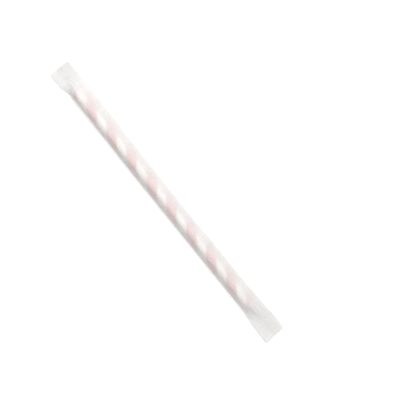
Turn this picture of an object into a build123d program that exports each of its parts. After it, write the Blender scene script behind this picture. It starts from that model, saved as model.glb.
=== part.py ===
"""A wrapped drinking straw: a spiral-wound paper tube sealed in a flat paper sleeve.

The straw lies along +X. The sleeve is one folded sheet round it: a lengthwise lap seam runs
along its back, the side it lies on, and both ends are pressed flat and sealed past the straw.
Millimetres, +Z up, origin at the middle of the underside of the whole thing.
"""
import os
from math import acos, atan, atan2, cos, hypot, pi, sin

from build123d import *

# Straw
STRAW_LENGTH = 197.0
STRAW_DIAMETER = 6.1
STRAW_WALL = 0.4
STRAW_EDGE_BREAK = 0.08   # rounding of the cut ends, as a radius

# Sleeve
FLAT_WIDTH = 16.6         # width where it is pressed flat
PAPER = 0.1               # one layer of paper
START_TAIL = 23.0         # sleeve beyond the straw's -X end
END_TAIL = 31.0           # sleeve beyond the straw's +X end
SEAL = 7.0                # sealed length at each end
SHOULDER = 10.0           # length in which it opens from flat to round the straw
SEAM_WIDTH = 4.0          # overlap of the lap seam, whose inner layer is inside the sleeve
STRAW_OFFSET = 1.4        # how far the straw lies off the sleeve's middle, towards -Y

# Clearances
STRAW_CLEARANCE = 0.1     # straw to paper, all round
END_CLEARANCE = 0.5       # straw's end to where the sleeve starts to close
POCKET_GAP = 0.08         # between the layers where the sleeve is flat but not sealed
POCKET_CROWN = 0.01       # rise of the top layer across the seam, where it is flat
EDGE_GAP = 0.15           # inside the sleeve's two lengthwise folds

# The straw lies on the two layers of the lap seam.
STRAW_RADIUS = STRAW_DIAMETER / 2
INNER_RADIUS = STRAW_RADIUS + STRAW_CLEARANCE
OUTER_RADIUS = INNER_RADIUS + PAPER
STRAW_AXIS_Y = -STRAW_OFFSET
STRAW_AXIS_Z = 2 * PAPER + INNER_RADIUS

TOTAL_LENGTH = START_TAIL + STRAW_LENGTH + END_TAIL
START_X = -TOTAL_LENGTH / 2
END_X = TOTAL_LENGTH / 2
STRAW_START_X = START_X + START_TAIL
STRAW_END_X = END_X - END_TAIL


def tented_width():
    """Width of the sleeve where it goes over the straw.

    The loop of paper keeps its length: twice the flat width is two floor lengths, two flanks
    that touch the straw, and the arc over the straw's top between them.
    """
    narrow = 2 * (OUTER_RADIUS + STRAW_OFFSET)
    wide = FLAT_WIDTH
    for _ in range(50):
        width = (narrow + wide) / 2
        left = width / 2 - STRAW_OFFSET
        right = width / 2 + STRAW_OFFSET
        arc = 2 * pi - 2 * atan(left / OUTER_RADIUS) - 2 * atan(right / OUTER_RADIUS)
        if 2 * width + OUTER_RADIUS * arc > 2 * FLAT_WIDTH:
            wide = width
        else:
            narrow = width
    return width


def flank_angle(reach, drop):
    """Angle, from level, of the normal of a flank that touches the straw's paper.

    The flank starts at a corner this far out from the straw's axis and this far below it.
    """
    distance = hypot(reach, drop)
    return atan2(-drop, reach) + acos(OUTER_RADIUS / distance)


def loop(x, points, crown):
    """Closed face at x: floor, fold, flank, crowned top, flank, fold."""
    left_floor, right_floor, right_fold, right_top, left_top, left_fold = [
        Vector(x, y, z) for y, z in points
    ]
    edges = [
        Line(left_floor, right_floor),
        Line(right_floor, right_fold),
        Line(right_fold, right_top),
        ThreePointArc(right_top, Vector(x, *crown), left_top),
        Line(left_top, left_fold),
        Line(left_fold, left_floor),
    ]
    return Face(Wire(edges))


def tented_section(x, inset):
    """Section where the paper goes over the straw, set in by inset from its outside."""
    half = tented_width() / 2
    radius = OUTER_RADIUS - inset
    fold_top = 2 * PAPER + EDGE_GAP
    points = {}
    for side in (-1, 1):
        reach = half - side * STRAW_AXIS_Y
        angle = flank_angle(reach, STRAW_AXIS_Z - fold_top)
        slope = cos(angle) / sin(angle)
        fold_y = side * (half - inset)
        fold_z = fold_top + inset * slope - inset / sin(angle)
        top_y = STRAW_AXIS_Y + side * radius * cos(angle)
        top_z = STRAW_AXIS_Z + radius * sin(angle)
        points[side] = [(fold_y, inset), (fold_y, fold_z), (top_y, top_z)]
    left, right = points[-1], points[1]
    outline = [left[0], right[0], right[1], right[2], left[2], left[1]]
    return loop(x, outline, (STRAW_AXIS_Y, STRAW_AXIS_Z + radius))


def flat_section(x, inset):
    """Section where the layers lie flat: two at the folds, three at the lap seam."""
    half = FLAT_WIDTH / 2 - inset
    crest = SEAM_WIDTH / 2 + PAPER
    fold_top = 2 * PAPER + POCKET_GAP - inset
    seam_top = fold_top + PAPER
    outline = [
        (-half, inset),
        (half, inset),
        (half, fold_top),
        (crest, seam_top),
        (-crest, seam_top),
        (-half, fold_top),
    ]
    return loop(x, outline, (0, seam_top + POCKET_CROWN))


def sleeve_form(inset, end_inset):
    """Solid form of the sleeve, from flat to tented to flat, set in from its outside."""
    stations = [
        flat_section(START_X + end_inset, inset),
        flat_section(STRAW_START_X - END_CLEARANCE - SHOULDER, inset),
        tented_section(STRAW_START_X - END_CLEARANCE, inset),
        tented_section(STRAW_END_X + END_CLEARANCE, inset),
        flat_section(STRAW_END_X + END_CLEARANCE + SHOULDER, inset),
        flat_section(END_X - end_inset, inset),
    ]
    return loft(stations, ruled=True)


def paper_wrapper():
    """One folded sheet of paper: sleeve, lap seam along its back, and two sealed ends."""
    sleeve = sleeve_form(0, 0) - sleeve_form(PAPER, SEAL)
    seam = Box(TOTAL_LENGTH - SEAL, SEAM_WIDTH, 2 * PAPER)
    return sleeve + Pos(0, 0, PAPER) * seam


def paper_straw():
    """Spiral-wound paper tube with both ends cut square."""
    tube = Cylinder(STRAW_RADIUS, STRAW_LENGTH)
    tube -= Cylinder(STRAW_RADIUS - STRAW_WALL, STRAW_LENGTH)
    tube = fillet(tube.edges().filter_by(GeomType.CIRCLE), STRAW_EDGE_BREAK)
    middle_x = (STRAW_START_X + STRAW_END_X) / 2
    return Pos(middle_x, STRAW_AXIS_Y, STRAW_AXIS_Z) * Rot(0, 90, 0) * tube


os.makedirs("parts", exist_ok=True)
export_step(paper_wrapper(), "parts/paper_wrapper.step")
export_step(paper_straw(), "parts/paper_straw.step")
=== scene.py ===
"""Looks of a wrapped drinking straw: a striped paper straw in a thin white paper sleeve.

Metres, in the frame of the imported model: the straw lies along +X, +Z is up, and the origin
is in the middle of the underside. Both pieces replace their plain solids and keep their boxes.
"""

import math
from bisect import bisect_right

import bpy
from bpy.props import FloatProperty, FloatVectorProperty, PointerProperty
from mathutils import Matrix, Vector, noise


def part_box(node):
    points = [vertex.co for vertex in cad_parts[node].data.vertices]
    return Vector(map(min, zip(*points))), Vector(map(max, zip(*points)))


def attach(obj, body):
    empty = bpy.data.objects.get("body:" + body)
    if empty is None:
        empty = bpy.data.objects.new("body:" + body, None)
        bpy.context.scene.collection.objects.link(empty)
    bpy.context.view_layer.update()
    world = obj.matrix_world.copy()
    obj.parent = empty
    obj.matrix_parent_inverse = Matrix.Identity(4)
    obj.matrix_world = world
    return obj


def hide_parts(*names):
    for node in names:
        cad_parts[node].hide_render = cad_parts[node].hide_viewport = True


bl_info = {
    "name": "Wrapped Drinking Straw",
    "version": (1, 0, 0),
    "blender": (4, 5, 0),
    "location": "View3D > Sidebar > Wrapped Straw",
    "description": "Builds a striped paper straw sealed in a thin white paper sleeve",
    "category": "Object",
}

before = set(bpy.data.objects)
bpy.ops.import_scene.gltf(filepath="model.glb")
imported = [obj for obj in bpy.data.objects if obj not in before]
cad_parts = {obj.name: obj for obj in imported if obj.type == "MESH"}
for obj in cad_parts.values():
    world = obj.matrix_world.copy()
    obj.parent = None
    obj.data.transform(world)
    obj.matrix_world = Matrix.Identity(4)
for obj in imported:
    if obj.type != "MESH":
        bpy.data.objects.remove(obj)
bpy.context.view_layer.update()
STRAW_LOW, STRAW_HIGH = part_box("paper_straw")
SLEEVE_LOW, SLEEVE_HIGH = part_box("paper_wrapper")

MM = 0.001
STRAW_START = STRAW_LOW.x
STRAW_END = STRAW_HIGH.x
STRAW_Y = (STRAW_LOW.y + STRAW_HIGH.y) / 2
STRAW_Z = (STRAW_LOW.z + STRAW_HIGH.z) / 2
STRAW_RADIUS = (STRAW_HIGH.z - STRAW_LOW.z) / 2
SLEEVE_LENGTH = SLEEVE_HIGH.x - SLEEVE_LOW.x
SLEEVE_HALF_WIDTH = (SLEEVE_HIGH.y - SLEEVE_LOW.y) / 2


def linear(hex_colour):
    """sRGB hex, such as "#F4F1EA", as a linear RGBA colour."""
    channels = [int(hex_colour[i:i + 2], 16) / 255 for i in (1, 3, 5)]
    return [c / 12.92 if c <= 0.04045 else ((c + 0.055) / 1.055) ** 2.4 for c in channels] + [1.0]


def add_node(tree, kind, settings=None, inputs=None):
    """Adds a node, sets its properties, and sets or links its inputs."""
    node = tree.nodes.new(kind)
    for name, value in (settings or {}).items():
        setattr(node, name, value)
    for name, value in (inputs or {}).items():
        socket = node.inputs[name]
        if isinstance(value, bpy.types.NodeSocket):
            tree.links.new(value, socket)
        else:
            socket.default_value = value
    return node


def new_material(name):
    """An empty node material and its output node."""
    material = bpy.data.materials.new(name)
    material.use_nodes = True
    material.node_tree.nodes.clear()
    output = add_node(material.node_tree, "ShaderNodeOutputMaterial")
    return material, material.node_tree, output


def smooth(t):
    """Smooth step of t from 0 to 1."""
    t = min(max(t, 0.0), 1.0)
    return t * t * (3 - 2 * t)


def along(points, x):
    """Smooth curve through listed (x, value) points."""
    xs = [p[0] for p in points]
    if x <= xs[0]:
        return points[0][1]
    if x >= xs[-1]:
        return points[-1][1]
    i = bisect_right(xs, x) - 1
    (x0, v0), (x1, v1) = points[i], points[i + 1]
    return v0 + (v1 - v0) * smooth((x - x0) / (x1 - x0))


class StrawSettings(bpy.types.PropertyGroup):
    """Sizes and colours of the straw."""

    wall: FloatProperty(
        name="Wall", description="Thickness of the wound paper", default=0.4 * MM,
        min=0.1 * MM, unit="LENGTH")
    pitch: FloatProperty(
        name="Stripe pitch", description="Length of one turn of the stripes",
        default=23.0 * MM, min=5 * MM, unit="LENGTH")
    red_share: FloatProperty(
        name="Red share", description="Share of each turn that is red", default=0.52,
        min=0.05, max=0.95, subtype="FACTOR")
    first_red: FloatProperty(
        name="First red", description="Straw's end to the middle of a red stripe, on top",
        default=17.8 * MM, unit="LENGTH")
    red: FloatVectorProperty(
        name="Red", description="Red ink", size=4, subtype="COLOR",
        default=linear("#D4383C"), min=0, max=1)
    white: FloatVectorProperty(
        name="White", description="Bare bleached paper", size=4, subtype="COLOR",
        default=linear("#F7F3EF"), min=0, max=1)


class SleeveSettings(bpy.types.PropertyGroup):
    """Sizes and colours of the sleeve."""

    paper: FloatProperty(
        name="Paper", description="Thickness of the sheet", default=0.06 * MM,
        min=0.02 * MM, unit="LENGTH")
    fold_height: FloatProperty(
        name="Fold height", description="Height of the side folds beside the straw",
        default=1.1 * MM, min=0.0, unit="LENGTH")
    seam_width: FloatProperty(
        name="Seam width", description="Overlap of the lap seam", default=4.0 * MM,
        min=1 * MM, unit="LENGTH")
    wrinkle: FloatProperty(
        name="Wrinkles", description="Height of the soft wrinkles", default=0.10 * MM,
        min=0.0, unit="LENGTH")
    colour: FloatVectorProperty(
        name="Colour", description="Thin bleached paper", size=4, subtype="COLOR",
        default=linear("#FDFCFB"), min=0, max=1)
    see_through: FloatProperty(
        name="See-through", description="Light that goes straight through each face",
        default=0.23, min=0, max=1, subtype="FACTOR")
    glow: FloatProperty(
        name="Glow", description="Share of the rest that spreads through the sheet",
        default=0.43, min=0, max=1, subtype="FACTOR")


class StageSettings(bpy.types.PropertyGroup):
    """Light and view."""

    ambient: FloatProperty(
        name="Ambient", description="Strength of the light from all round", default=0.66,
        min=0)
    key: FloatProperty(
        name="Key", description="Power of the soft lamp, in watts", default=4.5, min=0)
    lens: FloatProperty(
        name="Lens", description="Focal length of the camera, in millimetres", default=100.0,
        min=20)


# ---------------------------------------------------------------------------------------------
# Straw
# ---------------------------------------------------------------------------------------------

SEAM_GROOVE = 0.05 * MM      # depth of the gap between turns of the outer ply
SEAM_HALF = 0.14 * MM        # half its width
SEAM_SHAPE = (               # columns across it: place in half widths, share of its depth
    (-2.0, 0.0), (-1.0, 0.0), (-0.45, 0.8), (0.0, 1.0), (0.45, 0.8), (1.0, 0.0), (2.0, 0.0),
)
PLAIN_COLUMNS = 57           # steps round the rest of the straw
RING_STEP = 0.6 * MM         # length of the straw between rings
CUT_BEVEL = 0.04 * MM        # softened edge of the cut ends
PLY_EDGE = 0.02 * MM         # from the line between two layers to the flat of each
PLIES = 3                    # paper layers in the wall
PLY_GROOVE = 0.03 * MM       # depth of the line between layers at the cut ends
INK_EDGE = 0.006             # softness of the printed edge, as a share of a turn


def straw_phase(settings):
    """Turns along x, less turns of angle, at the middle of the red stripes."""
    return (STRAW_START + settings.first_red) / settings.pitch - 0.25


def straw_columns(settings):
    """Angles round the straw, with close ones where the seam of the outer ply runs.

    The seam runs along one edge of the red stripe. Angles are those at the straw's -X end.
    """
    edge = straw_phase(settings) + settings.red_share / 2
    seam = 2 * math.pi * (STRAW_START / settings.pitch - edge)
    half = SEAM_HALF / STRAW_RADIUS
    columns = [(seam + share * half, depth) for share, depth in SEAM_SHAPE]
    wide = 2 * math.pi - 4 * half
    for i in range(1, PLAIN_COLUMNS):
        columns.append((seam + 2 * half + wide * i / PLAIN_COLUMNS, 0.0))
    return columns


def straw_profile(settings):
    """Rings of the straw, as (x, radius, seam depth share), once round its wall."""
    wall = settings.wall
    inner = STRAW_RADIUS - wall
    rim = []
    for i in range(PLIES):
        low = inner + wall * i / PLIES
        high = inner + wall * (i + 1) / PLIES
        rim.append((high - (PLY_EDGE if i < PLIES - 1 else CUT_BEVEL), 0.0))
        rim.append((low + (PLY_EDGE if i > 0 else CUT_BEVEL), 0.0))
        if i < PLIES - 1:
            rim.append((high, PLY_GROOVE))
    rim.sort()
    length = STRAW_END - STRAW_START - 2 * CUT_BEVEL
    count = round(length / RING_STEP)
    xs = [STRAW_START + CUT_BEVEL + length * i / count for i in range(count + 1)]
    rings = [(x, STRAW_RADIUS, 1.0) for x in xs]
    rings += [(STRAW_END - sink, radius, 0.0) for radius, sink in reversed(rim)]
    rings += [(x, inner, 0.0) for x in reversed(xs)]
    rings += [(STRAW_START + sink, radius, 0.0) for radius, sink in rim]
    return rings


def straw_mesh(settings):
    """Tube whose columns follow the winding, so that the seam is a true helical groove."""
    columns = straw_columns(settings)
    rings = straw_profile(settings)
    verts = []
    for x, radius, share in rings:
        twist = 2 * math.pi * (x - STRAW_START) / settings.pitch
        for angle, depth in columns:
            r = radius - SEAM_GROOVE * depth * share
            theta = angle + twist
            verts.append((x, STRAW_Y + r * math.cos(theta), STRAW_Z + r * math.sin(theta)))
    n, m = len(columns), len(rings)
    faces = []
    for j in range(m):
        for i in range(n):
            a, b = j * n + i, j * n + (i + 1) % n
            c, d = ((j + 1) % m) * n + (i + 1) % n, ((j + 1) % m) * n + i
            faces.append((a, b, c, d))
    return verts, faces


def printed_straw_paper(settings):
    """Spiral-wound bleached paper, flexo-printed with red stripes.

    Uncoated paper gives a matt face with a faint sheen off the ink. The ink soaks in a little
    unevenly, so the red is mottled and its edges are not quite sharp.
    """
    material, tree, output = new_material("Printed spiral-wound paper")
    place = add_node(tree, "ShaderNodeTexCoord").outputs["Object"]
    axis = add_node(tree, "ShaderNodeVectorMath", {"operation": "SUBTRACT"},
                    {0: place, 1: (0.0, STRAW_Y, STRAW_Z)}).outputs[0]
    parts = add_node(tree, "ShaderNodeSeparateXYZ", None, {0: axis}).outputs
    angle = add_node(tree, "ShaderNodeMath", {"operation": "ARCTAN2"},
                     {0: parts["Z"], 1: parts["Y"]}).outputs[0]
    turns = add_node(tree, "ShaderNodeMath", {"operation": "DIVIDE"},
                     {0: angle, 1: 2 * math.pi}).outputs[0]
    length = add_node(tree, "ShaderNodeMath", {"operation": "DIVIDE"},
                      {0: parts["X"], 1: settings.pitch}).outputs[0]
    helix = add_node(tree, "ShaderNodeMath", {"operation": "SUBTRACT"},
                     {0: length, 1: turns}).outputs[0]
    # Fibres wick the ink about 0.1 mm either side of the printed edge.
    wick = add_node(tree, "ShaderNodeTexNoise", {"noise_dimensions": "3D"},
                    {"Vector": place, "Scale": 1 / (0.5 * MM), "Detail": 3.0}).outputs["Fac"]
    wobble = add_node(tree, "ShaderNodeMath", {"operation": "MULTIPLY_ADD"},
                      {0: wick, 1: 0.010, 2: -0.005 - straw_phase(settings) + 0.5}).outputs[0]
    phase = add_node(tree, "ShaderNodeMath", {"operation": "ADD"}, {0: helix, 1: wobble}).outputs[0]
    turn = add_node(tree, "ShaderNodeMath", {"operation": "FRACT"}, {0: phase}).outputs[0]
    centred = add_node(tree, "ShaderNodeMath", {"operation": "SUBTRACT"},
                       {0: turn, 1: 0.5}).outputs[0]
    away = add_node(tree, "ShaderNodeMath", {"operation": "ABSOLUTE"}, {0: centred}).outputs[0]
    half = settings.red_share / 2
    ink = add_node(tree, "ShaderNodeMapRange", {"interpolation_type": "SMOOTHSTEP"},
                   {"Value": away, "From Min": half - INK_EDGE, "From Max": half + INK_EDGE,
                    "To Min": 1.0, "To Max": 0.0}).outputs[0]
    # Ink lies thinner on the high fibres: mottle about 1 mm across.
    mottle = add_node(tree, "ShaderNodeTexNoise", None,
                      {"Vector": place, "Scale": 1 / (1.0 * MM), "Detail": 4.0}).outputs["Fac"]
    cover = add_node(tree, "ShaderNodeMapRange", None,
                     {"Value": mottle, "From Min": 0.35, "From Max": 0.65,
                      "To Min": 0.93, "To Max": 1.0}).outputs[0]
    laid = add_node(tree, "ShaderNodeMath", {"operation": "MULTIPLY"},
                    {0: ink, 1: cover}).outputs[0]
    colour = add_node(tree, "ShaderNodeMix", {"data_type": "RGBA"},
                      {"Factor": laid, "A": settings.white, "B": settings.red}).outputs["Result"]
    # Paper fibres, about 0.15 mm apart.
    fibre = add_node(tree, "ShaderNodeTexNoise", None,
                     {"Vector": place, "Scale": 1 / (0.15 * MM), "Detail": 2.0}).outputs["Fac"]
    bump = add_node(tree, "ShaderNodeBump", None,
                    {"Strength": 0.25, "Distance": 0.02 * MM, "Height": fibre}).outputs[0]
    rough = add_node(tree, "ShaderNodeMapRange", None,
                     {"Value": laid, "To Min": 0.75, "To Max": 0.55}).outputs[0]
    shader = add_node(tree, "ShaderNodeBsdfPrincipled", None,
                      {"Base Color": colour, "Roughness": rough, "Normal": bump, "IOR": 1.5})
    tree.links.new(shader.outputs[0], output.inputs["Surface"])
    return material


# ---------------------------------------------------------------------------------------------
# Sleeve
# ---------------------------------------------------------------------------------------------

# Side folds in plan, millimetres from the sleeve's -X end and from its middle. Where the sleeve
# goes over the straw it draws in, more on the side that the straw lies nearer to.
NEAR_FOLD = [
    (0, -8.15), (13.5, -8.15), (21.5, -6.0), (30, -5.95), (60, -6.35), (95, -6.85),
    (221, -6.9), (231, -8.15), (251, -8.25),
]
FAR_FOLD = [
    (0, 7.5), (1.2, 8.0), (3.2, 8.25), (16, 8.25), (40, 7.95), (90, 7.1), (152, 6.6),
    (172, 7.2), (208, 6.8), (218, 7.6), (226, 7.6), (240, 8.15), (248, 8.15), (250, 7.8),
    (251, 7.3),
]
START_RAMP = 12.0 * MM       # length over which the paper comes down past the straw's -X end
END_RAMP = 17.0 * MM         # and past its +X end
SEAL = 7.0 * MM              # sealed length at each end
LAYER_GAP = 0.05 * MM        # between layers that lie flat but are not sealed
STRAW_GAP = 0.12 * MM        # straw to the paper over it
CREST_RADIUS = 0.35 * MM     # bend over the middle where the sleeve is flat
SEAM_STEP = 0.4 * MM         # width in which the inner layer comes down off the outer one
END_MARGIN = 0.02 * MM       # keeps the tilt of the end edges inside the sleeve's length
STATION_STEP = 0.75 * MM     # length of the sleeve between sections
UNDER_POINTS = 34            # across the underside, from a free edge to a side fold
TOP_POINTS = 74              # across the top
WAVE_LENGTH = 13 * MM        # long and short wrinkles along the flanks
RIPPLE_LENGTH = 4.5 * MM
PLEAT_WIDTH = 3.4 * MM       # across, past the straw's ends
NEAR_LIFT = 0.75 * MM        # rise of the near edge where the sleeve is flat
END_LIFT = 0.65 * MM         # rise of the +X end, over this length
END_LIFT_LENGTH = 12 * MM
SWAY = 0.15 * MM             # uneven rise of the flat ends


def fold_y(side_points, x):
    """Place of a side fold at x, in metres."""
    return along(side_points, (x - SLEEVE_LOW.x) / MM) * MM


def past_straw(x):
    """How far x is past the straw's ends, as a share of the ramp there; 0 over the straw."""
    return max((STRAW_START - x) / START_RAMP, (x - STRAW_END) / END_RAMP, 0.0)


def opening(x):
    """How far the sleeve is open at x: 1 over the straw, 0 where it is flat."""
    left = max(1 - past_straw(x), 0.0)
    return 0.5 * smooth(left) + 0.5 * left


def resample(path, count):
    """Points spread evenly by length along a path, both ends kept."""
    lengths = [0.0]
    for (y0, z0), (y1, z1) in zip(path, path[1:]):
        lengths.append(lengths[-1] + math.hypot(y1 - y0, z1 - z0))
    points = []
    j = 0
    for i in range(count):
        target = lengths[-1] * i / (count - 1)
        while j < len(path) - 2 and lengths[j + 1] < target:
            j += 1
        span = lengths[j + 1] - lengths[j]
        t = (target - lengths[j]) / span if span > 0 else 0.0
        (y0, z0), (y1, z1) = path[j], path[j + 1]
        points.append((y0 + (y1 - y0) * t, z0 + (z1 - z0) * t))
    return points


def over_bar(fold, fold_z, radius, axis_y, axis_z):
    """Half of the top: straight from a fold until it touches a round bar, then to its crest."""
    side = 1 if fold > axis_y else -1
    reach = abs(fold - axis_y)
    drop = axis_z - fold_z
    touch = math.atan2(-drop, reach) + math.acos(radius / math.hypot(reach, drop))
    path = [(fold, fold_z)]
    for i in range(13):
        angle = touch + (math.pi / 2 - touch) * i / 12
        path.append((axis_y + side * radius * math.cos(angle), axis_z + radius * math.sin(angle)))
    return path


def underside(free_edge, fold, fold_z, floor, rise, step):
    """From a free edge of the sheet, along the surface it lies on, and up to a side fold."""
    path = []
    for i in range(61):
        y = free_edge + (fold - free_edge) * i / 60
        near_fold = smooth((y / fold - 1 + rise) / rise) ** 1.4
        off_seam = smooth((-y - abs(free_edge)) / SEAM_STEP)
        path.append((y, floor + (fold_z - floor) * near_fold + step * (1 - off_seam)))
    return path


def section(x, settings):
    """The sheet's middle line at x, from its inner free edge round to its outer one."""
    paper = settings.paper
    share = opening(x)
    from_end = min(x - SLEEVE_LOW.x, SLEEVE_HIGH.x - x)
    gap = LAYER_GAP * (0.2 + 0.8 * smooth((from_end - SEAL) / (2 * MM)))
    layer = paper + gap
    floor = paper / 2
    near = fold_y(NEAR_FOLD, x)
    far = fold_y(FAR_FOLD, x)
    fold_z = floor + layer / 2 + (settings.fold_height - layer / 2) * share
    radius_open = STRAW_RADIUS + STRAW_GAP + paper / 2
    crest_open = STRAW_Z + radius_open
    crest_flat = floor + 2.4 * layer
    radius = CREST_RADIUS + (radius_open - CREST_RADIUS) * share
    crest = crest_flat + (crest_open - crest_flat) * share
    axis_y = STRAW_Y * share
    rise = 0.06 + 0.24 * share
    half_seam = settings.seam_width / 2
    near_top = over_bar(near, fold_z, radius, axis_y, crest - radius)
    far_top = over_bar(far, fold_z, radius, axis_y, crest - radius)
    inner = underside(half_seam, near, fold_z, floor, rise, layer)
    outer = underside(-half_seam, far, fold_z, floor, rise, 0.0)
    points = resample(inner, UNDER_POINTS)[:-1]
    points += resample(near_top + far_top[::-1][1:], TOP_POINTS)
    points += resample(outer[::-1], UNDER_POINTS)[1:]
    return points


def wrinkle(x, y, v, settings):
    """Outward move of the top layer: soft waves along the flanks, and pleats past the straw."""
    share = opening(x)
    past = past_straw(x)
    from_crest = abs(v - 0.5) * 2
    flank = smooth((from_crest - 0.25) / 0.3) * smooth((1.0 - from_crest) / 0.12)
    waves = noise.noise(Vector((x / WAVE_LENGTH, v * 2.2, 3.1)))
    ripples = noise.noise(Vector((x / RIPPLE_LENGTH, v * 3.5, 8.4)))
    body = settings.wrinkle * flank * share * (1.6 * waves + 0.7 * ripples)
    pleat = math.cos(2 * math.pi * (y - STRAW_Y) / PLEAT_WIDTH)
    hump = smooth(past / 0.3) * smooth((1 - past) / 0.5)
    return body + 0.6 * settings.wrinkle * pleat * hump * smooth((1 - from_crest) / 0.5)


def lift(x, y):
    """Rise of all layers together off the surface, where the flat ends curl a little."""
    flat = 1 - smooth(opening(x) / 0.35)
    near_side = smooth(-y / SLEEVE_HALF_WIDTH)
    to_end = smooth(1 - (SLEEVE_HIGH.x - x) / END_LIFT_LENGTH)
    sway = 0.5 + 0.5 * noise.noise(Vector((x / (14 * MM), y / (9 * MM), 1.7)))
    return flat * (NEAR_LIFT * near_side + END_LIFT * to_end + SWAY * sway)


def sleeve_mesh(settings):
    """The folded sheet as a closed shell, one sheet of paper thick."""
    paper = settings.paper
    count = round(SLEEVE_LENGTH / STATION_STEP)
    columns = 2 * (UNDER_POINTS - 1) + TOP_POINTS
    grid = []
    for i in range(count + 1):
        x = SLEEVE_LOW.x + END_MARGIN + (SLEEVE_LENGTH - 2 * END_MARGIN) * i / count
        points = section(x, settings)
        normals = []
        for k in range(columns):
            (y0, z0), (y1, z1) = points[max(k - 1, 0)], points[min(k + 1, columns - 1)]
            size = math.hypot(y1 - y0, z1 - z0) or 1.0
            normals.append((-(z1 - z0) / size, (y1 - y0) / size))
        row = []
        for k in range(columns):
            y, z = points[k]
            ny, nz = normals[k]
            v = (k - (UNDER_POINTS - 1)) / (TOP_POINTS - 1)
            if 0 < v < 1:
                push = wrinkle(x, y, v, settings)
                y += ny * push
                z += nz * push
            row.append(Vector((x, y, z + lift(x, y))))
        grid.append(row)
    return shell(grid, paper)


def shell(grid, thickness):
    """Closed shell of this thickness about a grid of points, and its faces."""
    rows, columns = len(grid), len(grid[0])
    outside, inside = [], []
    for i in range(rows):
        for k in range(columns):
            along_x = grid[min(i + 1, rows - 1)][k] - grid[max(i - 1, 0)][k]
            across = grid[i][min(k + 1, columns - 1)] - grid[i][max(k - 1, 0)]
            normal = along_x.cross(across).normalized()
            outside.append(grid[i][k] + normal * thickness / 2)
            inside.append(grid[i][k] - normal * thickness / 2)
    verts = outside + inside
    back = rows * columns
    faces = []
    for i in range(rows - 1):
        for k in range(columns - 1):
            a, b = i * columns + k, i * columns + k + 1
            c, d = b + columns, a + columns
            faces.append((a, d, c, b))
            faces.append((back + a, back + b, back + c, back + d))
    for i in range(rows - 1):
        a, b = i * columns, (i + 1) * columns
        faces.append((a, back + a, back + b, b))
        a, b = a + columns - 1, b + columns - 1
        faces.append((a, b, back + b, back + a))
    for k in range(columns - 1):
        a, b = k, k + 1
        faces.append((a, b, back + b, back + a))
        a, b = a + (rows - 1) * columns, b + (rows - 1) * columns
        faces.append((a, back + a, back + b, b))
    return verts, faces


def thin_wrapping_paper(settings):
    """Thin bleached wrapping paper, a light sheet of short fibres, not coated.

    The sheet is so thin that light comes through it: part spreads in the fibres, part goes
    straight through, so what touches the sheet shows softly. Its fibres lie in faint clouds.
    """
    material, tree, output = new_material("Thin bleached wrapping paper")
    place = add_node(tree, "ShaderNodeTexCoord").outputs["Object"]
    # Cloudy formation of the sheet, about 2 mm across.
    cloud = add_node(tree, "ShaderNodeTexNoise", None,
                     {"Vector": place, "Scale": 1 / (2.0 * MM), "Detail": 3.0}).outputs["Fac"]
    clear = add_node(tree, "ShaderNodeMapRange", None,
                     {"Value": cloud, "From Min": 0.3, "From Max": 0.7,
                      "To Min": settings.see_through - 0.03,
                      "To Max": settings.see_through + 0.03}).outputs[0]
    # Fibres, about 0.2 mm apart.
    fibre = add_node(tree, "ShaderNodeTexNoise", None,
                     {"Vector": place, "Scale": 1 / (0.2 * MM), "Detail": 2.0}).outputs["Fac"]
    bump = add_node(tree, "ShaderNodeBump", None,
                    {"Strength": 0.2, "Distance": 0.02 * MM, "Height": fibre}).outputs[0]
    front = add_node(tree, "ShaderNodeBsdfDiffuse", None,
                     {"Color": settings.colour, "Normal": bump}).outputs[0]
    through = add_node(tree, "ShaderNodeBsdfTranslucent", None,
                       {"Color": settings.colour, "Normal": bump}).outputs[0]
    body = add_node(tree, "ShaderNodeMixShader", None,
                    {0: settings.glow, 1: front, 2: through}).outputs[0]
    gap = add_node(tree, "ShaderNodeBsdfTransparent").outputs[0]
    sheet = add_node(tree, "ShaderNodeMixShader", None, {0: clear, 1: body, 2: gap}).outputs[0]
    tree.links.new(sheet, output.inputs["Surface"])
    return material


# ---------------------------------------------------------------------------------------------
# Operators
# ---------------------------------------------------------------------------------------------

SHARP_ANGLE = math.radians(40)


def add_piece(name, mesh_data, material, node):
    """Makes the mesh object, and lets it stand for its plain solid."""
    verts, faces = mesh_data
    mesh = bpy.data.meshes.new(name)
    mesh.from_pydata(verts, [], faces)
    mesh.validate()
    mesh.materials.append(material)
    mesh.shade_smooth()
    mesh.set_sharp_from_angle(angle=SHARP_ANGLE)
    piece = bpy.data.objects.new(name, mesh)
    bpy.context.scene.collection.objects.link(piece)
    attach(piece, "root")
    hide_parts(node)


class WRAPPEDSTRAW_OT_straw(bpy.types.Operator):
    """Build the striped paper straw"""

    bl_idname = "wrapped_straw.straw"
    bl_label = "Straw"

    def execute(self, context):
        settings = context.scene.straw_settings
        material = printed_straw_paper(settings)
        add_piece("striped_straw", straw_mesh(settings), material, "paper_straw")
        return {"FINISHED"}


class WRAPPEDSTRAW_OT_sleeve(bpy.types.Operator):
    """Build the folded paper sleeve"""

    bl_idname = "wrapped_straw.sleeve"
    bl_label = "Sleeve"

    def execute(self, context):
        settings = context.scene.sleeve_settings
        material = thin_wrapping_paper(settings)
        add_piece("folded_sleeve", sleeve_mesh(settings), material, "paper_wrapper")
        return {"FINISHED"}


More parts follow.
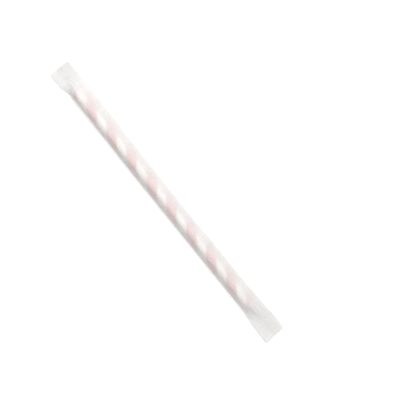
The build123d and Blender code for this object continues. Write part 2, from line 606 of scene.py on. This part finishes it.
VIEW_ROLL = 51.0             # degrees that the straw runs below level in the view
VIEW_SPAN = 292.5 * MM       # width of the floor in view
VIEW_CENTRE = (14.7 * MM, 19.2 * MM)
SENSOR = 36.0                # millimetres
WHITE = (1.0, 1.0, 1.0, 1.0)
FLOOR_GLOW = 0.17            # brings the unshaded card up to white
FLOOR_SIZE = 3.0
FLOOR_DROP = 0.02 * MM       # floor below the sleeve's underside, so that they never coincide
KEY_DIRECTION = (-0.35, 0.54, 0.77)    # about 50 degrees up, from +Y turned towards -X
KEY_DISTANCE = 0.9
KEY_SIZE = 0.45


def seen_directly(tree):
    """1 on camera, glossy and transmission rays, and 0 on all others."""
    path = add_node(tree, "ShaderNodeLightPath").outputs
    pair = add_node(tree, "ShaderNodeMath", {"operation": "MAXIMUM"},
                    {0: path["Is Camera Ray"], 1: path["Is Glossy Ray"]}).outputs[0]
    return add_node(tree, "ShaderNodeMath", {"operation": "MAXIMUM"},
                    {0: pair, 1: path["Is Transmission Ray"]}).outputs[0]


def add_floor():
    """White card: it keeps the shadow, and shows as white where nothing shades it."""
    material, tree, output = new_material("White card")
    card = add_node(tree, "ShaderNodeBsdfDiffuse", None, {"Color": linear("#F4F4F3")}).outputs[0]
    glow = add_node(tree, "ShaderNodeEmission", None, {"Color": WHITE})
    lit = add_node(tree, "ShaderNodeMath", {"operation": "MULTIPLY"},
                   {0: seen_directly(tree), 1: FLOOR_GLOW}).outputs[0]
    tree.links.new(lit, glow.inputs["Strength"])
    both = add_node(tree, "ShaderNodeAddShader", None, {0: card, 1: glow.outputs[0]}).outputs[0]
    tree.links.new(both, output.inputs["Surface"])
    half = FLOOR_SIZE / 2
    z = SLEEVE_LOW.z - FLOOR_DROP
    mesh = bpy.data.meshes.new("floor")
    mesh.from_pydata([(-half, -half, z), (half, -half, z), (half, half, z), (-half, half, z)], [],
                     [(0, 1, 2, 3)])
    mesh.materials.append(material)
    floor = bpy.data.objects.new("floor", mesh)
    bpy.context.scene.collection.objects.link(floor)


def add_light(settings):
    """Even light from all round, and one large soft lamp."""
    world = bpy.data.worlds.new("Studio")
    bpy.context.scene.world = world
    world.use_nodes = True
    tree = world.node_tree
    tree.nodes.clear()
    level = add_node(tree, "ShaderNodeMapRange", None,
                     {"Value": seen_directly(tree), "To Min": settings.ambient,
                      "To Max": 1.0}).outputs[0]
    sky = add_node(tree, "ShaderNodeBackground", None, {"Color": WHITE, "Strength": level})
    output = add_node(tree, "ShaderNodeOutputWorld")
    tree.links.new(sky.outputs[0], output.inputs["Surface"])
    lamp = bpy.data.lights.new("key", "AREA")
    lamp.shape = "DISK"
    lamp.size = KEY_SIZE
    lamp.energy = settings.key
    key = bpy.data.objects.new("key", lamp)
    direction = Vector(KEY_DIRECTION).normalized()
    key.location = direction * KEY_DISTANCE
    key.rotation_euler = direction.to_track_quat("Z", "Y").to_euler()
    bpy.context.scene.collection.objects.link(key)


def add_camera(settings):
    """Looks straight down, turned so that the straw runs down to the right."""
    camera = bpy.data.cameras.new("camera")
    camera.sensor_width = SENSOR
    camera.lens = settings.lens
    view = bpy.data.objects.new("camera", camera)
    height = VIEW_SPAN * settings.lens / SENSOR
    view.location = (*VIEW_CENTRE, height)
    view.rotation_euler = (0.0, 0.0, math.radians(VIEW_ROLL))
    bpy.context.scene.collection.objects.link(view)
    bpy.context.scene.camera = view


class WRAPPEDSTRAW_OT_stage(bpy.types.Operator):
    """Set up the floor, the light and the camera"""

    bl_idname = "wrapped_straw.stage"
    bl_label = "Stage"

    def execute(self, context):
        settings = context.scene.straw_stage_settings
        context.scene.view_settings.view_transform = "Standard"
        add_floor()
        add_light(settings)
        add_camera(settings)
        return {"FINISHED"}


class WRAPPEDSTRAW_PT_panel(bpy.types.Panel):
    """Sizes, colours and buttons for the wrapped straw."""

    bl_label = "Wrapped Straw"
    bl_idname = "WRAPPEDSTRAW_PT_panel"
    bl_space_type = "VIEW_3D"
    bl_region_type = "UI"
    bl_category = "Wrapped Straw"

    def draw(self, context):
        scene = context.scene
        groups = (
            (scene.straw_settings, WRAPPEDSTRAW_OT_straw),
            (scene.sleeve_settings, WRAPPEDSTRAW_OT_sleeve),
            (scene.straw_stage_settings, WRAPPEDSTRAW_OT_stage),
        )
        for settings, operator in groups:
            box = self.layout.box()
            for name in settings.__annotations__:
                box.prop(settings, name)
            box.operator(operator.bl_idname)


CLASSES = (
    StrawSettings,
    SleeveSettings,
    StageSettings,
    WRAPPEDSTRAW_OT_straw,
    WRAPPEDSTRAW_OT_sleeve,
    WRAPPEDSTRAW_OT_stage,
    WRAPPEDSTRAW_PT_panel,
)


def register():
    """Registers the classes and their settings."""
    for cls in CLASSES:
        bpy.utils.register_class(cls)
    bpy.types.Scene.straw_settings = PointerProperty(type=StrawSettings)
    bpy.types.Scene.sleeve_settings = PointerProperty(type=SleeveSettings)
    bpy.types.Scene.straw_stage_settings = PointerProperty(type=StageSettings)


def unregister():
    """Removes the settings and the classes."""
    del bpy.types.Scene.straw_stage_settings
    del bpy.types.Scene.sleeve_settings
    del bpy.types.Scene.straw_settings
    for cls in reversed(CLASSES):
        bpy.utils.unregister_class(cls)


def main():
    """Builds everything in order."""
    register()
    bpy.ops.wrapped_straw.straw()
    bpy.ops.wrapped_straw.sleeve()
    bpy.ops.wrapped_straw.stage()


if __name__ == "__main__":
    main()
